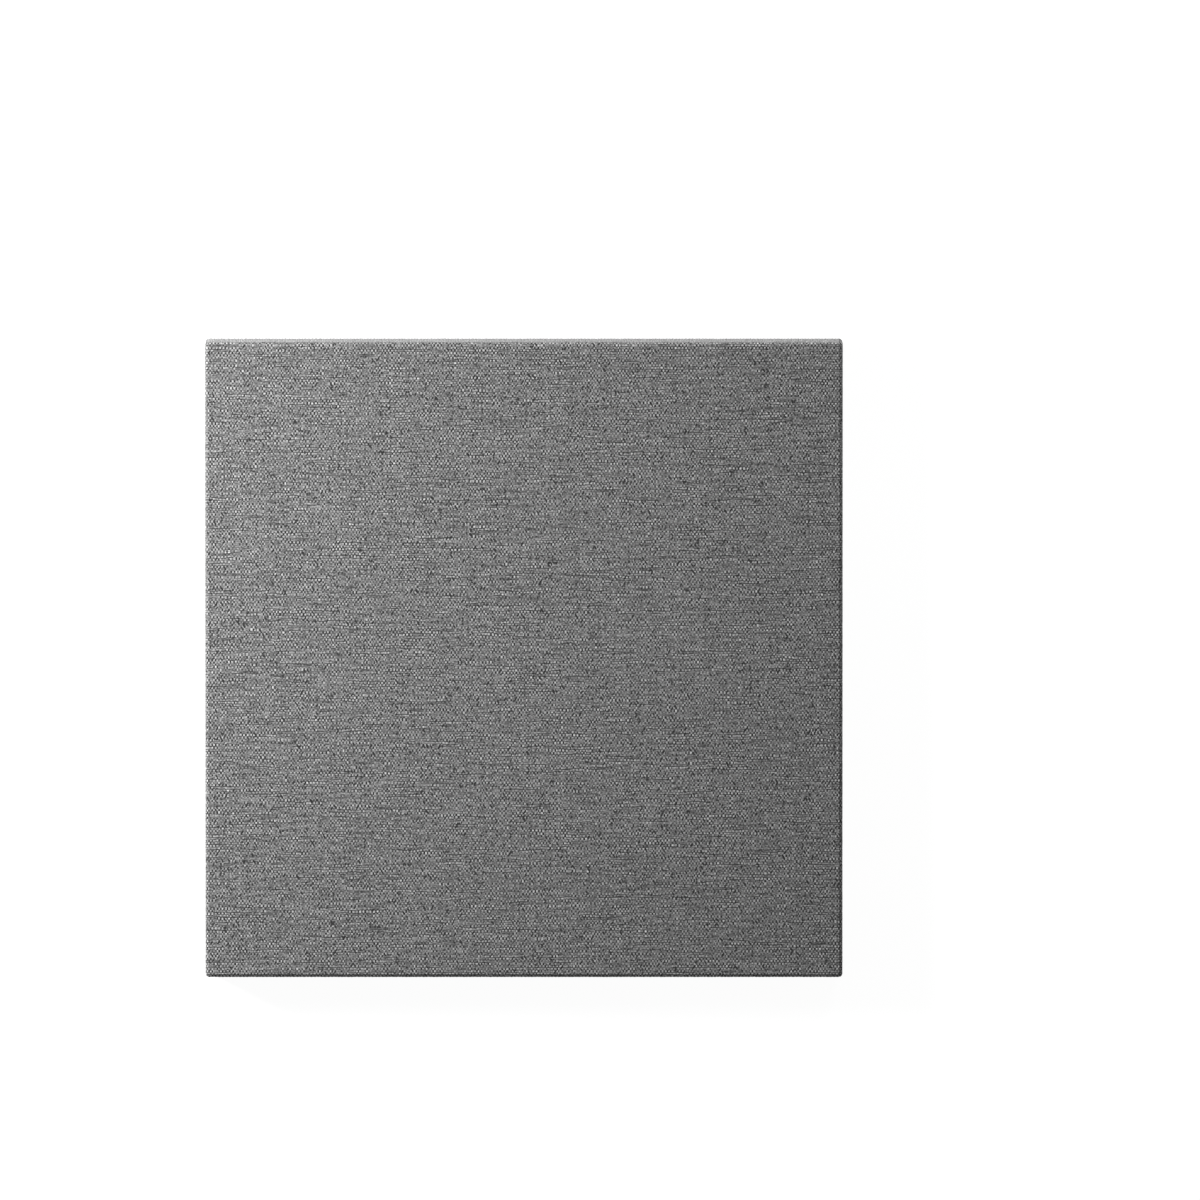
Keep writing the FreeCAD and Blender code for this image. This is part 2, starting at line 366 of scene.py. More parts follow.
# %% [markdown]
# ## The cloth as a material
#
# The eye sees two things in a plain weave: which thread is on top, and how each thread rounds over as
# it dives under the next. Both follow from the thread numbers. So the material reads them from a UV
# map called `threads`, which counts warp threads in u and weft threads in v, and which the pieces
# below carry over their edges without a break.
#
# Each thread is a rounded bar that rises and dips like a wave. The higher of the two bars wins, and
# that gives the dots, the dashes and the holes between them, where painted shade darkens the cloth.
#
# With only that, the cloth would look like a net drawn by a machine. Real yarn is uneven, so more is
# laid over it:
#
# - the tone of each weft thread drifts along its length
# - the contrast between dots and dashes comes and goes in patches a few threads wide
# - here and there a corner between threads is painted dark, as painted shade in a deep pit
# - here and there a thin dark line of painted shade runs where two weft threads part, with paler yarn
#   beside it
# - for a stretch, every other thread is painted darker than its neighbours, as painted shade of a thread
#   that lies deeper
# - short pale and dark flecks follow the weft
#
# All of it swings about one mean tone, so the cloth stays even from further away, as real cloth does.

# %% Helpers for materials
def new_material(name, **settings):
    """A material with one Principled shader, and the shader's own plain settings."""
    material = bpy.data.materials.new(name)
    material.use_nodes = True
    tree = material.node_tree
    shader = tree.nodes["Principled BSDF"]
    for label, value in settings.items():
        shader.inputs[label.replace("_", " ")].default_value = value
    return material, tree, shader


def combine_grey(tree, tone):
    """A grey colour from one tone."""
    return add(tree, "ShaderNodeCombineColor", 0, {}, Red=tone, Green=tone, Blue=tone)


def add_bump(tree, shader, height, distance, strength=1.0):
    """Let the light fall as if the surface rose and sank by this height."""
    bump = add(tree, "ShaderNodeBump", 0, {}, Strength=strength, Distance=distance, Height=height)
    connect(tree, bump, shader.inputs["Normal"])


# %% The height of the two sets of threads
# Heights in parts of a thread's own rise.
DOT_WAVE = 0.5
WARP_ROUND = 0.5
WEFT_ROUND = 0.42
CROSSING_BLEND = 0.08


def yarn_height(tree, across, wave, roundness):
    """A rounded bar: `across` is the place across the thread, `wave` where it rises and dips."""
    side = calc(tree, "MULTIPLY", across, 2.0)
    bulge = calc(tree, "SQRT", calc(tree, "SUBTRACT", 1.0, calc(tree, "POWER", side, 2.0), clamp=True))
    return calc(tree, "MULTIPLY_ADD", bulge, roundness, calc(tree, "MULTIPLY", wave, DOT_WAVE))


def thread_wave(tree, along, number):
    """From -1 to 1 along a thread, and the other way round on the next thread."""
    turn = calc(tree, "COSINE", scaled(tree, along, math.pi))
    return calc(tree, "MULTIPLY", turn, calc(tree, "COSINE", scaled(tree, number, math.pi)))


def weave_height(tree, u, v, warp, weft):
    """The height of the thread that shows, and from 0 to 1 whether that is the warp."""
    across_warp, across_weft = calc(tree, "SUBTRACT", u, warp), calc(tree, "SUBTRACT", v, weft)
    warp_height = yarn_height(tree, across_warp, thread_wave(tree, v, warp), WARP_ROUND)
    weft_wave = scaled(tree, thread_wave(tree, u, weft), -1.0)
    weft_height = yarn_height(tree, across_weft, weft_wave, WEFT_ROUND)
    warp_above = calc(tree, "SUBTRACT", warp_height, weft_height)
    warp_shows = ramp(tree, warp_above, -CROSSING_BLEND, CROSSING_BLEND)
    return calc(tree, "MAXIMUM", warp_height, weft_height), warp_shows


# %% The tone of the thread that shows
# Scales of noise count patterns to a thread: 0.06 is one in about 17 threads.
WARP_TONE = 0.3
WEFT_TONE = 0.1
WEFT_SWING = 0.8
WEFT_DRIFT_ALONG, WEFT_DRIFT_ACROSS = 0.06, 4.31
DRIFT_RANGE = (0.25, 0.75)
# Painted shade in the holes: the tone falls to this share at the bottom and is whole from this height up.
PAINTED_HOLE_SHADE = 0.84
SHADED_HOLE_HEIGHT = 0.75
# Each use of the noise reads a layer of its own, so that no pattern repeats another.
LAYERS = {"drift": 9.1, "patches": 17.0, "pit_shade": 5.0, "parted": 3.3, "rows": 6.1, "columns": 8.3,
          "flecks": 25.3, "fuzz": 5.0}


def drift_along_weft(tree, u, weft):
    """Noise that drifts along each weft thread, and is a new one on the next thread."""
    return noise(tree, scaled(tree, u, WEFT_DRIFT_ALONG), scaled(tree, weft, WEFT_DRIFT_ACROSS),
                 LAYERS["drift"], 2.0)


def thread_tone(tree, weft_drift, height, warp_shows):
    """The tone of the warp or the weft, with painted shade that makes it a little darker down in the
    holes.
    """
    swing = ramp(tree, weft_drift, *DRIFT_RANGE, 1 - WEFT_SWING, 1 + WEFT_SWING)
    tone = add(tree, "ShaderNodeMix", 0, {"data_type": "FLOAT"}, Factor=warp_shows,
               A=scaled(tree, swing, WEFT_TONE), B=WARP_TONE)
    return calc(tree, "MULTIPLY", tone, ramp(tree, height, 0.0, SHADED_HOLE_HEIGHT, PAINTED_HOLE_SHADE, 1.0))


# %% Contrast that comes and goes
MEAN_TONE = 0.18
PATCH_SWING = 1.3
PATCH_ACROSS, PATCH_UP = 0.45, 0.47
PATCH_RANGE = (0.32, 0.62)


def swing_in_patches(tree, tone, u, v):
    """Move the tone away from the mean tone or towards it, patch by patch."""
    patch = noise(tree, scaled(tree, u, PATCH_ACROSS), scaled(tree, v, PATCH_UP), LAYERS["patches"])
    contrast = ramp(tree, patch, *PATCH_RANGE, 1 - PATCH_SWING, 1 + PATCH_SWING)
    return calc(tree, "MULTIPLY_ADD", calc(tree, "SUBTRACT", tone, MEAN_TONE), contrast, MEAN_TONE)


# %% Painted shade in pits and between parted threads
# Places in a pit or beside a line are in parts of a thread's pitch.
PIT_FROM, PIT_CORE, PIT_RIM = 0.9, 0.3, 0.58
PARTED_ALONG, PARTED_ACROSS = 0.043, 7.31
PARTED_FROM, PARTED_FULL = 0.49, 0.59
LINE_REACH, LINE_BESIDE = 0.31, -0.53


def between_threads(tree, value):
    """The gap between threads that a place belongs to, and how far the place is from its middle."""
    gap = calc(tree, "FLOOR", value)
    middle = calc(tree, "ADD", gap, 0.5)
    return gap, calc(tree, "ABSOLUTE", calc(tree, "SUBTRACT", value, middle))


def pit_shade(tree, u, v):
    """How much painted shade a corner gets, as if it were a deep pit: 1 in the middle, and one corner in
    ten has some.
    """
    warp_gap, off_warp_gap = between_threads(tree, u)
    weft_gap, off_weft_gap = between_threads(tree, v)
    squares = [calc(tree, "POWER", off, 2.0) for off in (off_warp_gap, off_weft_gap)]
    off_corner = calc(tree, "SQRT", calc(tree, "ADD", *squares))
    depth = ramp(tree, chance_at(tree, warp_gap, weft_gap, LAYERS["pit_shade"]), PIT_FROM, 1.0)
    return calc(tree, "MULTIPLY", depth, ramp(tree, off_corner, PIT_CORE, PIT_RIM, 1.0, 0.0))


def parted_line_shade(tree, u, v):
    """1 on a line of painted shade where two weft threads part, and below 0 on the pale yarn beside it."""
    weft_gap, off_weft_gap = between_threads(tree, v)
    parted = noise(tree, scaled(tree, u, PARTED_ALONG), scaled(tree, weft_gap, PARTED_ACROSS),
                   LAYERS["parted"], 2.0)
    return calc(tree, "MULTIPLY", ramp(tree, parted, PARTED_FROM, PARTED_FULL),
                ramp(tree, off_weft_gap, 0.0, LINE_REACH, 1.0, LINE_BESIDE))


# %% Painted shade on every other thread, flecks and fibres
SHADE_STRETCH_ALONG, SHADE_STRETCH_ACROSS = 0.06, 0.31
SHADE_STRETCH_RANGE = (0.3, 0.7)
FLECK_ALONG, FLECK_ACROSS, FLECK_DEPTH = 0.66, 3.5, 3.75
TWIST_ACROSS, TWIST_UP, TWIST_HEIGHT = 17.0, 23.0, 0.04
FUZZ_ACROSS, FUZZ_UP, FUZZ_HEIGHT = 9.0, 13.0, 0.18


def every_other_shade(tree, number, along, layer):
    """From -1 to 1: for a stretch, every other thread gets painted shade, as if it lay deeper than its
    neighbours.
    """
    turn = calc(tree, "COSINE", scaled(tree, number, math.pi))
    drift = noise(tree, scaled(tree, along, SHADE_STRETCH_ALONG), scaled(tree, number, SHADE_STRETCH_ACROSS),
                  layer, 2.0)
    return calc(tree, "MULTIPLY", turn, ramp(tree, drift, *SHADE_STRETCH_RANGE, -1.0, 1.0))


def flecks(tree, u, v):
    """About 1: above it in a pale fleck and below it in a dark one."""
    fleck = noise(tree, scaled(tree, u, FLECK_ALONG), scaled(tree, v, FLECK_ACROSS), LAYERS["flecks"])
    return calc(tree, "ADD", scaled(tree, calc(tree, "SUBTRACT", fleck, 0.5), FLECK_DEPTH), 1.0)


def fibres(tree, u, v):
    """The fine height of twisted yarn and of the fuzz on it."""
    turn = calc(tree, "MULTIPLY_ADD", u, TWIST_ACROSS, scaled(tree, v, TWIST_UP))
    fuzz = noise(tree, scaled(tree, u, FUZZ_ACROSS), scaled(tree, v, FUZZ_UP), LAYERS["fuzz"], 2.0)
    return calc(tree, "MULTIPLY_ADD", calc(tree, "SINE", turn), TWIST_HEIGHT,
                scaled(tree, fuzz, FUZZ_HEIGHT))


# %% The woven cloth
# How much of the tone the painted shade of pits, parted lines, rows and columns takes away (the rows also
# carry the weft's drift in tone), and a soft limit that bends the palest dots down.
PIT_SHADE_DEPTH, LINE_SHADE_DEPTH, ROW_SHADE_AND_DRIFT_DEPTH, COLUMN_SHADE_DEPTH = 1.5, 1.0, 0.38, 0.26
DARKEST_TONE = 0.02
LIMIT_GAIN, LIMIT_BEND = 1.15, 0.8
BUMP_HEIGHT = 0.2 * MM


def make_cloth_material():
    material, tree, shader = new_material(
        "woven_cloth", Roughness=0.88, Sheen_Weight=0.25, Sheen_Roughness=0.5, Specular_IOR_Level=0.2)
    u, v = split(tree, add(tree, "ShaderNodeUVMap", 0, {"uv_map": "threads"}))[:2]
    warp, weft = calc(tree, "ROUND", u), calc(tree, "ROUND", v)
    height, warp_shows = weave_height(tree, u, v, warp, weft)
    weft_drift = drift_along_weft(tree, u, weft)
    tone = swing_in_patches(tree, thread_tone(tree, weft_drift, height, warp_shows), u, v)
    # Painted shade: every other weft thread darker for a stretch, with the weft's own drift in tone added,
    # then pits, parted lines and every other warp thread.
    row = calc(tree, "ADD", every_other_shade(tree, weft, u, LAYERS["rows"]),
               ramp(tree, weft_drift, *DRIFT_RANGE, -1.0, 1.0))
    for depth, amount in ((PIT_SHADE_DEPTH, pit_shade(tree, u, v)),
                          (LINE_SHADE_DEPTH, parted_line_shade(tree, u, v)),
                          (ROW_SHADE_AND_DRIFT_DEPTH, row),
                          (COLUMN_SHADE_DEPTH, every_other_shade(tree, warp, v, LAYERS["columns"]))):
        tone = calc(tree, "MULTIPLY", tone, calc(tree, "SUBTRACT", 1.0, scaled(tree, amount, depth)))
    tone = calc(tree, "MAXIMUM", calc(tree, "MULTIPLY", tone, flecks(tree, u, v)), DARKEST_TONE)
    tone = calc(tree, "DIVIDE", scaled(tree, tone, LIMIT_GAIN),
                calc(tree, "MULTIPLY_ADD", tone, LIMIT_BEND, 1.0))
    connect(tree, combine_grey(tree, tone), shader.inputs["Base Color"])
    add_bump(tree, shader, calc(tree, "ADD", height, fibres(tree, u, v)), BUMP_HEIGHT)
    return material


woven_cloth = make_cloth_material()
print("cloth material has", len(woven_cloth.node_tree.nodes), "nodes")

# %% [markdown]
# ## The face of the cloth
#
# The flat of the face is one grid with a point at each crossing. The grid starts out one unit to a
# thread, so its own points give the thread numbers, and only then is it stretched to its real size
# and raised. That order keeps the numbers whole, which the rule above needs.

# %% Geometry Nodes for the face
def make_face_group():
    tree, given, result = new_group(
        "cloth_face",
        [
            ("Int", "Warp Threads", 10),
            ("Int", "Weft Threads", 10),
            ("Float", "Width", 1.0),
            ("Float", "Height", 1.0),
            ("Vector", "Corner", None),
        ] + RELIEF_INPUTS,
        [("Geometry", "Geometry")],
    )
    warps, wefts = given["Warp Threads"], given["Weft Threads"]
    grid = add(tree, "GeometryNodeMeshGrid", Size_X=warps, Size_Y=wefts,
               Vertices_X=calc(tree, "ADD", warps, 1), Vertices_Y=calc(tree, "ADD", wefts, 1))
    place = split(tree, tree.nodes.new("GeometryNodeInputPosition").outputs[0])
    warp = calc(tree, "ROUND", calc(tree, "MULTIPLY_ADD", warps, 0.5, place["X"]))
    weft = calc(tree, "ROUND", calc(tree, "MULTIPLY_ADD", wefts, 0.5, place["Y"]))
    numbered = number_threads(tree, grid, warp, weft)
    corner = split(tree, given["Corner"])
    warp_shift, weft_shift = use_wander(tree, warp, weft, given)
    across = calc(tree, "DIVIDE", calc(tree, "ADD", warp, warp_shift), warps)
    up = calc(tree, "DIVIDE", calc(tree, "ADD", weft, weft_shift), wefts)
    x = calc(tree, "MULTIPLY_ADD", across, given["Width"], corner["X"])
    y = calc(tree, "MULTIPLY_ADD", up, given["Height"], corner["Y"])
    z = calc(tree, "ADD", use_relief(tree, warp, weft, given), corner["Z"])
    raised = add(tree, "GeometryNodeSetPosition", Geometry=numbered, Position=combine(tree, x, y, z))
    finish_tree(tree, raised, given["Cloth"], result)
    return tree


def finish_tree(tree, geometry, material, result):
    """End a tree: real geometry instead of instances, smooth shading and the material."""
    real = add(tree, "GeometryNodeRealizeInstances", Geometry=geometry)
    smooth = add(tree, "GeometryNodeSetShadeSmooth", Geometry=real, Shade_Smooth=True)
    coated = add(tree, "GeometryNodeSetMaterial", Geometry=smooth, Material=material)
    connect(tree, coated, result["Geometry"])


def mesh_from_nodes(name, tree, **inputs):
    """Run a tree once on an empty object, and keep what it makes as a plain mesh."""
    maker = bpy.data.objects.new(name + "_maker", bpy.data.meshes.new(name + "_maker"))
    bpy.context.scene.collection.objects.link(maker)
    modifier = maker.modifiers.new(name, "NODES")
    modifier.node_group = tree
    for item in tree.interface.items_tree:
        label = item.name.replace(" ", "_")
        if item.in_out == "INPUT" and label in inputs:
            modifier[item.identifier] = inputs[label]
    graph = bpy.context.evaluated_depsgraph_get()
    mesh = bpy.data.meshes.new_from_object(maker.evaluated_get(graph), depsgraph=graph)
    bpy.data.objects.remove(maker)
    mesh.name = name
    piece = bpy.data.objects.new(name, mesh)
    bpy.context.scene.collection.objects.link(piece)
    print(name, len(mesh.vertices), "points,", len(mesh.polygons), "faces")
    return piece


# %% Make the face
RELIEF = {"Lift": WEAVE_LIFT, "Relief": WEAVE_RELIEF, "Unevenness": UNEVENNESS, "Wander": 1.0,
          "Seed": SEED, "Cloth": woven_cloth}

cloth_face = mesh_from_nodes(
    "cloth_face", make_face_group(), Warp_Threads=warp_count, Weft_Threads=weft_count,
    Width=flat_width, Height=flat_height, Corner=(flat_low.x, flat_low.y, cover_high.z), **RELIEF)

# %% [markdown]
# ## The sides of the cloth
#
# The same cloth bends over each edge of the board, runs down the side, bends again and is turned under
# at the back. One side is a strip, and the four strips differ only in their length and in which threads
# run along them. So one group makes a strip in its own numbers, and Python uses it four times.
#
# A strip starts as a flat grid: its columns count along the edge and its rows count down the cloth. Each
# row is then wrapped: a quarter turn over the edge, straight down, and a quarter turn under. At each end
# of the strip, three more columns go round the upright corner to the seam, where the cloth is mitred.
# The last of them drops in, so that two strips meet in a narrow groove with no hole.

# %% Sizes of the sides
SEAM_GAP = 0.5 * MM
SEAM_DEPTH = 1.0 * MM
SEAM_BELOW_FACE = 9 * MM
SEAM_FADE = 1 * MM
TURNED_UNDER = 3.2 * MM
FLAT_WITHIN = 0.2 * MM
WELD = 0.01 * MM
CORNER_COLUMNS = 3
side_height = cover_high.z - cover_low.z - 2 * EDGE_RADIUS
quarter_arc = EDGE_RADIUS * math.pi / 2
print("straight part of a side", round(side_height / MM, 1), "mm high")


# %% The rows and columns of a strip
def make_strip_grid(tree, given):
    """A flat grid, with the row and the column of each point; a corner's columns count past the ends."""
    rows = calc(tree, "MULTIPLY_ADD", given["Arc Rows"], 2, given["Side Rows"])
    rows = calc(tree, "ADD", rows, given["Under Rows"])
    columns = calc(tree, "ADD", given["Columns"], 2 * CORNER_COLUMNS)
    grid = add(tree, "GeometryNodeMeshGrid", Size_X=rows, Size_Y=columns,
               Vertices_X=calc(tree, "ADD", rows, 1), Vertices_Y=calc(tree, "ADD", columns, 1))
    place = split(tree, tree.nodes.new("GeometryNodeInputPosition").outputs[0])
    row = calc(tree, "ROUND", calc(tree, "MULTIPLY_ADD", rows, 0.5, place["X"]))
    column = calc(tree, "ROUND", calc(tree, "MULTIPLY_ADD", columns, 0.5, place["Y"]))
    return grid, row, calc(tree, "SUBTRACT", column, CORNER_COLUMNS)


def round_corner(tree, given, column):
    """The column on the straight run, the steps past it, the turn they make, and 1 in the groove."""
    groove_turn = SEAM_GAP / 2 / EDGE_RADIUS
    straight = calc(tree, "MINIMUM", calc(tree, "MAXIMUM", column, 0), given["Columns"])
    past = calc(tree, "SUBTRACT", column, straight)
    steps = calc(tree, "ABSOLUTE", past)
    step_turn = calc(tree, "DIVIDE", given["Along Pitch"], EDGE_RADIUS)
    turn = calc(tree, "MINIMUM", calc(tree, "MULTIPLY", steps, step_turn), math.pi / 4 - groove_turn)
    in_groove = calc(tree, "GREATER_THAN", steps, CORNER_COLUMNS - 0.5)
    turn = calc(tree, "ADD", turn, scaled(tree, in_groove, groove_turn))
    return straight, steps, calc(tree, "MULTIPLY", turn, calc(tree, "SIGN", past)), in_groove


# %% Over the edge, down the side and under the back
def wrap_rows(tree, given, row):
    """How far the cloth faces out and up at a row, its height, and how far it lies under the back."""
    shares = []
    for label in ("Arc Rows", "Side Rows", "Arc Rows", "Under Rows"):
        shares.append(calc(tree, "DIVIDE", row, given[label], clamp=True))
        row = calc(tree, "SUBTRACT", row, given[label])
    wholes = (math.pi / 2, side_height, math.pi / 2, TURNED_UNDER)
    over, down, under, flap = (scaled(tree, share, whole) for share, whole in zip(shares, wholes))
    sin_over, cos_over = calc(tree, "SINE", over), calc(tree, "COSINE", over)
    sin_under, cos_under = calc(tree, "SINE", under), calc(tree, "COSINE", under)
    out = calc(tree, "MULTIPLY", sin_over, cos_under)
    up = calc(tree, "SUBTRACT", cos_over, sin_under)
    drop = calc(tree, "SUBTRACT", calc(tree, "ADD", 1.0, sin_under), cos_over)
    z = calc(tree, "SUBTRACT", given["Top"], calc(tree, "MULTIPLY_ADD", drop, EDGE_RADIUS, down))
    return out, up, z, flap


# %% Thread numbers and relief on a strip
def number_strip(tree, given, row, along):
    """The warp and weft numbers at a row and at a place along the strip."""
    start, down = split(tree, given["Number Start"]), split(tree, given["Number Down"])
    along_part = split(tree, given["Number Along"])
    first = [calc(tree, "MULTIPLY_ADD", row, down[axis], start[axis]) for axis in "XY"]
    return [calc(tree, "MULTIPLY_ADD", along, along_part[axis], number)
            for axis, number in zip("XY", first)]


def raise_strip(tree, given, numbers, steps, flap):
    """The relief fades at the seam and lies flat under the back."""
    raised = use_relief(tree, *(calc(tree, "ROUND", number) for number in numbers), given)
    from_seam = ramp(tree, steps, CORNER_COLUMNS - 2, CORNER_COLUMNS, 1.0, 0.0)
    not_under = ramp(tree, flap, 0.0, FLAT_WITHIN, 1.0, 0.0)
    return calc(tree, "MULTIPLY", calc(tree, "MULTIPLY", raised, from_seam), not_under)


def cut_groove(tree, given, in_groove, z):
    """The last column drops in, from a little below the face."""
    below_face = calc(tree, "SUBTRACT", given["Top"], z)
    in_seam = ramp(tree, below_face, SEAM_BELOW_FACE - SEAM_FADE, SEAM_BELOW_FACE + SEAM_FADE)
    return scaled(tree, calc(tree, "MULTIPLY", in_groove, in_seam), -SEAM_DEPTH)


def run_along(tree, given, numbers, straight, reach):
    """The place along the edge. Threads wander, and the mitre shortens what is turned under."""
    warp_shift, weft_shift = use_wander(tree, *numbers, given)
    along_part = split(tree, given["Number Along"])
    shift = calc(tree, "MULTIPLY_ADD", weft_shift, along_part["Y"],
                 calc(tree, "MULTIPLY", warp_shift, along_part["X"]))
    share = calc(tree, "DIVIDE", calc(tree, "ADD", straight, shift), given["Columns"])
    shrink = calc(tree, "DIVIDE", reach, given["Half Reach"])
    half_run = calc(tree, "MULTIPLY", given["Half Length"], shrink)
    return calc(tree, "MULTIPLY", scaled(tree, calc(tree, "SUBTRACT", share, 0.5), 2.0), half_run)


# %% Geometry Nodes for one side strip
def make_side_group():
    tree, given, result = new_group(
        "cloth_side",
        [
            ("Int", "Columns", 10),
            ("Int", "Arc Rows", 4),
            ("Int", "Side Rows", 20),
            ("Int", "Under Rows", 2),
            ("Float", "Half Length", 0.3),
            ("Float", "Half Reach", 0.3),
            ("Float", "Along Pitch", 0.002),
            ("Float", "Top", 0.05),
            ("Float", "Turn", 0.0),
            ("Vector", "Number Start", None),
            ("Vector", "Number Down", None),
            ("Vector", "Number Along", None),
        ] + RELIEF_INPUTS,
        [("Geometry", "Geometry")],
    )
    grid, row, column = make_strip_grid(tree, given)
    straight, steps, turn, in_groove = round_corner(tree, given, column)
    out, up, z, flap = wrap_rows(tree, given, row)
    round_part = calc(tree, "DIVIDE", scaled(tree, turn, EDGE_RADIUS), given["Along Pitch"])
    numbers = number_strip(tree, given, row, calc(tree, "ADD", straight, round_part))
    raised = calc(tree, "ADD", raise_strip(tree, given, numbers, steps, flap),
                  cut_groove(tree, given, in_groove, z))
    radius = calc(tree, "MULTIPLY_ADD", raised, out, scaled(tree, out, EDGE_RADIUS))
    reach = calc(tree, "SUBTRACT", given["Half Reach"], flap)
    run = run_along(tree, given, numbers, straight, reach)
    x = calc(tree, "MULTIPLY_ADD", radius, calc(tree, "COSINE", turn), reach)
    y = calc(tree, "MULTIPLY_ADD", radius, calc(tree, "SINE", turn), run)
    z = calc(tree, "MULTIPLY_ADD", raised, up, z)
    numbered = number_threads(tree, grid, *numbers)
    wrapped = add(tree, "GeometryNodeSetPosition", Geometry=numbered, Position=combine(tree, x, y, z))
    closed = add(tree, "GeometryNodeMergeByDistance", Geometry=wrapped, Distance=WELD)
    turned = add(tree, "GeometryNodeTransform", Geometry=closed,
                 Rotation=combine(tree, 0.0, 0.0, given["Turn"]))
    finish_tree(tree, turned, given["Cloth"], result)
    return tree


# %% Four strips make the sides
UP, LEFT, DOWN, RIGHT = (0, 1, 0), (-1, 0, 0), (0, -1, 0), (1, 0, 0)


def arc_count(pitch):
    """How many rows of threads bend over an edge."""
    return round(quarter_arc / pitch)


def make_all_sides_group():
    tree, given, result = new_group(
        "cloth_sides",
        [("Float", "Half Length", 0.3), ("Float", "Top", 0.05)] + RELIEF_INPUTS,
        [("Geometry", "Geometry")],
    )
    strip_group = make_side_group()
    strips = tree.nodes.new("GeometryNodeJoinGeometry")
    last = (warp_count, weft_count, 0)
    sides = [
        ((warp_count, 0, 0), RIGHT, UP),
        (last, UP, LEFT),
        ((0, weft_count, 0), LEFT, DOWN),
        ((0, 0, 0), DOWN, RIGHT),
    ]
    for quarter, (start, down, along) in enumerate(sides):
        down_pitch, along_pitch = (WARP_PITCH, WEFT_PITCH) if down[0] else (WEFT_PITCH, WARP_PITCH)
        strip = tree.nodes.new("GeometryNodeGroup")
        strip.node_tree = strip_group
        settings = {
            "Columns": warp_count if along[0] else weft_count,
            "Arc Rows": arc_count(down_pitch),
            "Side Rows": round(side_height / down_pitch),
            "Under Rows": round(TURNED_UNDER / down_pitch),
            "Half Length": given["Half Length"],
            "Half Reach": given["Half Length"],
            "Along Pitch": along_pitch,
            "Top": given["Top"],
            "Turn": quarter * math.pi / 2,
            "Number Start": start,
            "Number Down": down,
            "Number Along": along,
        }
        settings.update({name: given[name] for name in RELIEF})
        for name, value in settings.items():
            connect(tree, value, strip.inputs[name])
        tree.links.new(strip.outputs[0], strips.inputs[0])
    closed = add(tree, "GeometryNodeMergeByDistance", Geometry=strips.outputs[0], Distance=WELD)
    finish_tree(tree, closed, given["Cloth"], result)
    return tree


cloth_sides = mesh_from_nodes(
    "cloth_sides", make_all_sides_group(), Half_Length=flat_width / 2, Top=cover_high.z, **RELIEF)

# %% Put the cloth in place of the imported cover
for piece in (cloth_face, cloth_sides):
    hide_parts("fabric_cover")
    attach(piece, "root")

# %% [markdown]
# ## The black backing
#
# A thin black scrim is glued over the back. It is a loose, open weave, so it reads as a fine black net,
# and where it steps from the turned-under cloth down onto the wool it follows the step. The sheet is
# built row by row: each point's distance from the middle says how high it lies.

# %% Build the backing sheet
BACKING_THICKNESS = 0.8 * MM
FLAP_EDGE = 272.7 * MM
BOARD_EDGE = 267.7 * MM
STEP_UP = 1.1 * MM
MIDDLE_CELLS, SLOPE_CELLS, RING_CELLS = 100, 4, 10
RIPPLE_HEIGHT = 0.12 * MM
LONG_RIPPLE, SHORT_RIPPLE = 9, 31
backing_half = backing_high.x


def spaced(start, end, cells):
    """The starts of equal cells from one place to another."""
    return [start + (end - start) * k / cells for k in range(cells)]


def smooth_step(share):
    """From 0 to 1 with a soft start and a soft end."""
    share = min(max(share, 0.0), 1.0)
    return share * share * (3 - 2 * share)


def backing_rise(x, y):
    """How far the underside lies above its rim at this place."""
    from_middle = max(abs(x), abs(y))
    step = smooth_step((FLAP_EDGE - from_middle) / (FLAP_EDGE - BOARD_EDGE))
    ripple = noise_at(Vector((x * LONG_RIPPLE, y * LONG_RIPPLE, 0.0)))
    ripple += 0.5 * noise_at(Vector((x * SHORT_RIPPLE, y * SHORT_RIPPLE, 5.0)))
    return step * (STEP_UP + RIPPLE_HEIGHT * ripple)


def sheet_line():
    """The places of the grid's lines, close together on the slope."""
    half_line = (spaced(0, BOARD_EDGE, MIDDLE_CELLS // 2) + spaced(BOARD_EDGE, FLAP_EDGE, SLOPE_CELLS)
                 + spaced(FLAP_EDGE, backing_half, RING_CELLS) + [backing_half])
    return [-value for value in reversed(half_line[1:])] + half_line


def build_backing():
    line = sheet_line()
    mesh = bmesh.new()
    layers = []
    for thickness in (0.0, BACKING_THICKNESS):
        rows = [[mesh.verts.new((x, y, backing_low.z + backing_rise(x, y) + thickness)) for x in line]
                for y in line]
        layers.append(rows)
    last = len(line) - 1
    for rows, underside in ((layers[0], True), (layers[1], False)):
        for j in range(last):
            for i in range(last):
                corners = [rows[j][i], rows[j][i + 1], rows[j + 1][i + 1], rows[j + 1][i]]
                mesh.faces.new(corners[::-1] if underside else corners)
    rim = ([(0, i) for i in range(last)] + [(j, last) for j in range(last)]
           + [(last, i) for i in range(last, 0, -1)] + [(j, 0) for j in range(last, 0, -1)])
    for (j, i), (next_j, next_i) in zip(rim, rim[1:] + rim[:1]):
        mesh.faces.new([layers[0][j][i], layers[0][next_j][next_i],
                        layers[1][next_j][next_i], layers[1][j][i]])
    piece = bpy.data.objects.new("backing_scrim", bpy.data.meshes.new("backing_scrim"))
    mesh.to_mesh(piece.data)
    mesh.free()
    for face in piece.data.polygons:
        face.use_smooth = True
    bpy.context.scene.collection.objects.link(piece)
    return piece


backing_scrim = build_backing()
print("backing", len(backing_scrim.data.polygons), "faces")

# %% [markdown]
# ## Screw holes through the backing
#
# Each plate is screwed through the sheet into the board, so the sheet has a hole under each of the
# plate's two holes. Cutting a hole into a grid by hand is fiddly work. A Boolean modifier does it: one
# mesh of round pins is taken out of the sheet, and the result is kept as a plain mesh.

